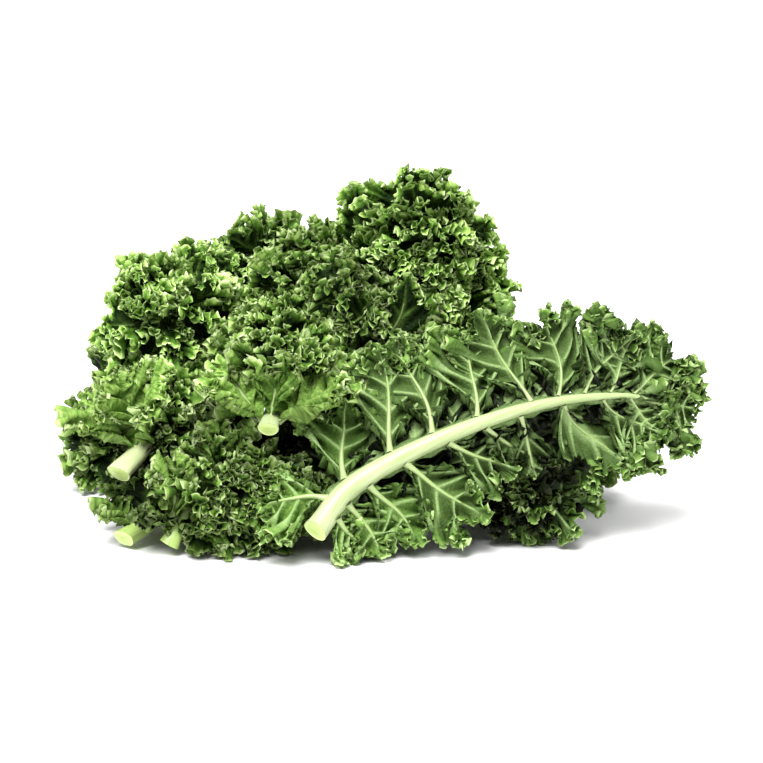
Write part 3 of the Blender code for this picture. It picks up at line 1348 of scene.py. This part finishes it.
# painted shade: this head lies under the front leaf, and its lobes and leaf are set dark
LOW_RIGHT_HEAD = planned(
    *((side, 0.86, 36, 24, tilt, (rise - 5, rise + 15), 45)
      for side, tilt, rise in (
          (T, 0, 5), (T, 0, 45), (T, 0, 85), (T, 0, -35), (T, 0, -75), (L, 48, 0), (R, 48, 0),
          (L, 45, 42), (R, 45, 42), (L, 45, -42), (R, 45, -42), (L, 5, 0), (R, 5, 0))),
    (R, 0.76, 52, 28, 30, (8, 20), 45),
    (R, 0.92, 45, 26, 32, (24, 36), 45),
    light=-0.35,
)
BACK_LEFT_HEAD = planned(
    (T, 0.88, 66, 34, 0, (66, 92), 50),
    (T, 0.66, 62, 34, 0, (80, 96), 50),
    (T, 0.88, 40, 26, 0, (-30, -50), 50),
    (R, 0.88, 48, 28, 20, (-40, -50), 50),
    (R, 0.70, 44, 26, 20, (-40, -50), 50),
    (R, 0.80, 46, 26, 25, (-15, -60), 50),
    (T, 0.97, 48, 30, 0, (78, 98), 50),
)
CROWN_DOME = planned(
    (L, 0.93, 52, 30, 50, (4, 16), 45),
    (L, 0.80, 58, 32, 36, (4, 16), 45),
    (R, 0.96, 46, 30, 66, (4, 16), 45),
)
UPPER_LEFT_SKIRT = planned(
    (R, 0.30, 58, 30, 0, (-30, -40), 45),
    (R, 0.52, 60, 30, 5, (-30, -40), 45),
    (R, 0.74, 60, 30, 10, (-30, -40), 45),
    (R, 0.90, 42, 26, 10, (-35, -50), 45),
    (T, 0.88, 42, 28, 0, (55, 80), 45),
    (T, 0.56, 46, 34, 0, (84, 98), 40),
    (T, 0.95, 42, 30, 0, (-48, -74), 45),
)
CENTRE_BASE = planned(
    (R, 0.10, 48, 27, 12, (45, 20), 40, 0, 0.1, 0.93),
    (L, 0.10, 56, 28, 8, (32, 5), 40, 0, 0.1, 0.93),
    (T, 0.12, 38, 20, 0, (66, 40), 60, 0, 0.0, 0.90),
    habit=SOFT,
) + planned(
    (R, 0.40, 52, 28, 0, (-30, -45), 40),
    (R, 0.65, 56, 28, 0, (-30, -45), 40),
)
LEFT_BASE = planned(
    (R, 0.15, 50, 30, 20, (55, 10), 45, 0, 0.1, 0.93),
    (R, 0.22, 52, 30, 20, (75, 60), 45, 0, 0.1, 0.93),
    (L, 0.18, 52, 30, 15, (72, 50), 45, 0, 0.0, 0.92),
    habit=SOFT, inner=True,
) + planned((L, 0.30, 58, 34, 0, (46, 24), 30, 0, -0.1, 0.86), habit=SOFT)
LOW_LEFT_BASE = planned(
    (R, 0.08, 24, 17, 12, (66, 20), 40, 0, 0.3, 0.93),
    (L, 0.10, 36, 20, 10, (60, 20), 50, 0, 0.2, 0.92),
    habit=SOFT,
)
LOW_MIDDLE_BASE = planned(
    (R, 0.08, 50, 17, 72, (16, 2), 60, 0, 0.3, 0.93),
    (R, 0.50, 48, 20, 0, (5, 10), 60, 0, 0.0, 0.92),
    (L, 0.16, 30, 18, 20, (10, -10), 50, 0, 0.1, 0.90),
    habit=SOFT,
)

# How light each leaf is set is partly its own age and partly painted shade: leaves deep in the heap
# and under the front leaf are set dark.
LEAVES = [
    KaleLeaf(
        "leaf_front",
        spine=[(-46, -136, 27), (-17, -112, 55), (45, -97, 85), (114, -78, 104),
               (172, -58, 106), (198, -50, 99), (218, -44, 87)],
        face=[(0.1, 0.9, -0.42), (-0.1, 0.9, -0.35)],
        stalk=8.2, bare=0.03, width=((68, 78), (78, 84)), lobes=0, seed=1, slant=0.35,
        underside=True, plans=FRONT_LOBES,
    ),
    KaleLeaf(
        "leaf_low_right",
        spine=[(68, 98, 28), (80, 40, 26), (94, -10, 29), (102, -50, 34), (104, -84, 38)],
        face=[(0.0, 0.0, 1.0), (0.0, -0.1, 1.0)],
        stalk=6.5, bare=0.18, width=((44, 30), (44, 30)), lobes=3, crest=34, rises=(8.0,),
        seed=2, youth_and_shade=0.05, plans=LOW_RIGHT_HEAD,
    ),
    KaleLeaf(
        "leaf_low_middle",
        spine=[(-150, -106, 9), (-136, -98, 32), (-112, -90, 40), (-84, -86, 40),
               (-58, -86, 36)],
        face=[(0.1, -0.9, 0.4), (0.2, -0.9, 0.3)],
        stalk=6.5, bare=0.26, width=((40, 44), (38, 46)), crest=26,
        seed=3, youth_and_shade=0.36, tone=StalkTone.GREEN, plans=LOW_MIDDLE_BASE,
    ),
    KaleLeaf(
        "leaf_low_left",
        spine=[(-184, -90, 10), (-162, -60, 20), (-136, -18, 30), (-116, 24, 32),
               (-104, 66, 28)],
        face=[(0.0, 0.0, 1.0), (0.0, 0.0, 1.0)],
        stalk=8.0, bare=0.09, width=((50, 58), (36, 54)), crest=34, rises=(8.0,),
        seed=4, youth_and_shade=-0.1, tone=StalkTone.GREEN, plans=LOW_LEFT_BASE,
    ),
    KaleLeaf(
        "leaf_inner",
        spine=[(-40, -62, 14), (-32, -6, 35), (-18, 48, 44), (0, 108, 38)],
        face=[(0.0, -0.1, 1.0), (0.0, 0.2, 1.0)],
        stalk=6.5, bare=0.14, width=((60, 72), (60, 72)), crest=50, rises=(8.0,),
        grain=0.8, seed=5, youth_and_shade=0.05,
    ),
    KaleLeaf(
        "leaf_back_left",
        spine=[(-88, 112, 24), (-138, 101, 32), (-182, 93, 42), (-220, 86, 44)],
        face=[(0.0, -0.2, 1.0), (-0.3, -0.3, 0.9)],
        stalk=6.5, bare=0.10, width=((44, 44), (44, 44)), lobes=3, crest=50,
        seed=6, youth_and_shade=0.4, plans=BACK_LEFT_HEAD,
    ),
    KaleLeaf(
        "leaf_back_right",
        spine=[(18, 126, 10), (64, 108, 33), (112, 78, 41), (156, 42, 32)],
        face=[(0.1, 0.5, 0.85), (0.4, 0.4, 0.8)],
        stalk=6.5, bare=0.10, width=((50, 44), (54, 46)), crest=40, rises=(8.0,),
        grain=0.65, seed=7, youth_and_shade=0.3,
    ),
    KaleLeaf(
        "leaf_left",
        spine=[(-188, -76, 54), (-172, -48, 70), (-160, -12, 84), (-150, 36, 88),
               (-142, 90, 82)],
        face=[(-0.1, -0.45, 0.9), (0.0, 0.2, 1.0)],
        stalk=8.5, bare=0.20, width=((50, 60), (50, 60)), crest=48,
        seed=8, youth_and_shade=0.75, tone=StalkTone.CREAM, plans=LEFT_BASE,
    ),
    KaleLeaf(
        "leaf_centre",
        spine=[(-79, -106, 94), (-75, -74, 107), (-68, -36, 120), (-60, 6, 128)],
        face=[(0.0, -0.5, 0.9), (0.0, -0.3, 1.0)],
        stalk=6.8, bare=0.30, width=((50, 56), (50, 56)), crest=46,
        seed=9, plans=CENTRE_BASE,
    ),
    KaleLeaf(
        "leaf_middle",
        spine=[(28, -34, 62), (12, -32, 108), (-8, -30, 142), (-28, -22, 172)],
        face=[(-0.3, -0.8, 0.5), (-0.3, -0.8, 0.5)],
        stalk=5.5, bare=0.12, width=((50, 54), (48, 50)), crest=26,
        seed=10, youth_and_shade=0.4,
    ),
    KaleLeaf(
        "leaf_upper_left",
        spine=[(-76, 78, 110), (-108, 52, 138), (-146, 24, 154), (-179, 2, 149)],
        face=[(0.0, -0.35, 0.95), (-0.3, -0.5, 0.85)],
        stalk=6.5, bare=0.12, width=((60, 56), (56, 50)), crest=41,
        seed=11, youth_and_shade=1.15, plans=UPPER_LEFT_SKIRT,
    ),
    KaleLeaf(
        "leaf_upper_middle",
        spine=[(-68, 16, 118), (-64, 22, 140), (-52, 28, 162), (-36, 34, 178)],
        face=[(-0.35, -0.75, 0.55), (-0.2, -0.8, 0.5)],
        stalk=5.5, bare=0.10, width=((46, 50), (48, 52)),
        seed=12,
    ),
    KaleLeaf(
        "leaf_crown",
        spine=[(2, 8, 84), (14, 22, 130), (28, 30, 164), (33, 30, 188), (33, 26, 200)],
        face=[(0.0, -0.95, 0.3), (0.0, -0.95, 0.35)],
        stalk=6.5, bare=0.14, width=((60, 62, 74, 82), (54, 74, 98, 90)), lobes=6, crest=46,
        seed=13, youth_and_shade=1.05, plans=CROWN_DOME,
    ),
    KaleLeaf(
        "leaf_back",
        spine=[(24, 98, 84), (-20, 96, 124), (-60, 92, 164), (-96, 84, 192)],
        face=[(-0.3, 0.6, 0.7), (-0.5, 0.4, 0.8)],
        stalk=5.5, bare=0.10, width=((46, 46), (46, 46)), crest=28,
        seed=14,
    ),
]


def main() -> None:
    """Build the studio and the leaves in order."""
    logging.basicConfig(level=logging.INFO, format="%(message)s")
    studio = Studio()
    studio.stand_camera()
    studio.light_room()
    studio.lay_floor()
    upper, under = UPPER_SIDE.material(), UNDERSIDE.material()
    stalks = {tone: finish.material() for tone, finish in STALKS.items()}
    cut = CUT_FACE.material()
    total = 0
    for leaf in LEAVES:
        piece = leaf.grow([under if leaf.underside else upper, stalks[leaf.tone], cut])
        total += len(piece.data.polygons)
        LOG.info("%s: %d triangles", piece.name, len(piece.data.polygons))
    LOG.info("all leaves: %d triangles", total)


if __name__ == "__main__":
    main()
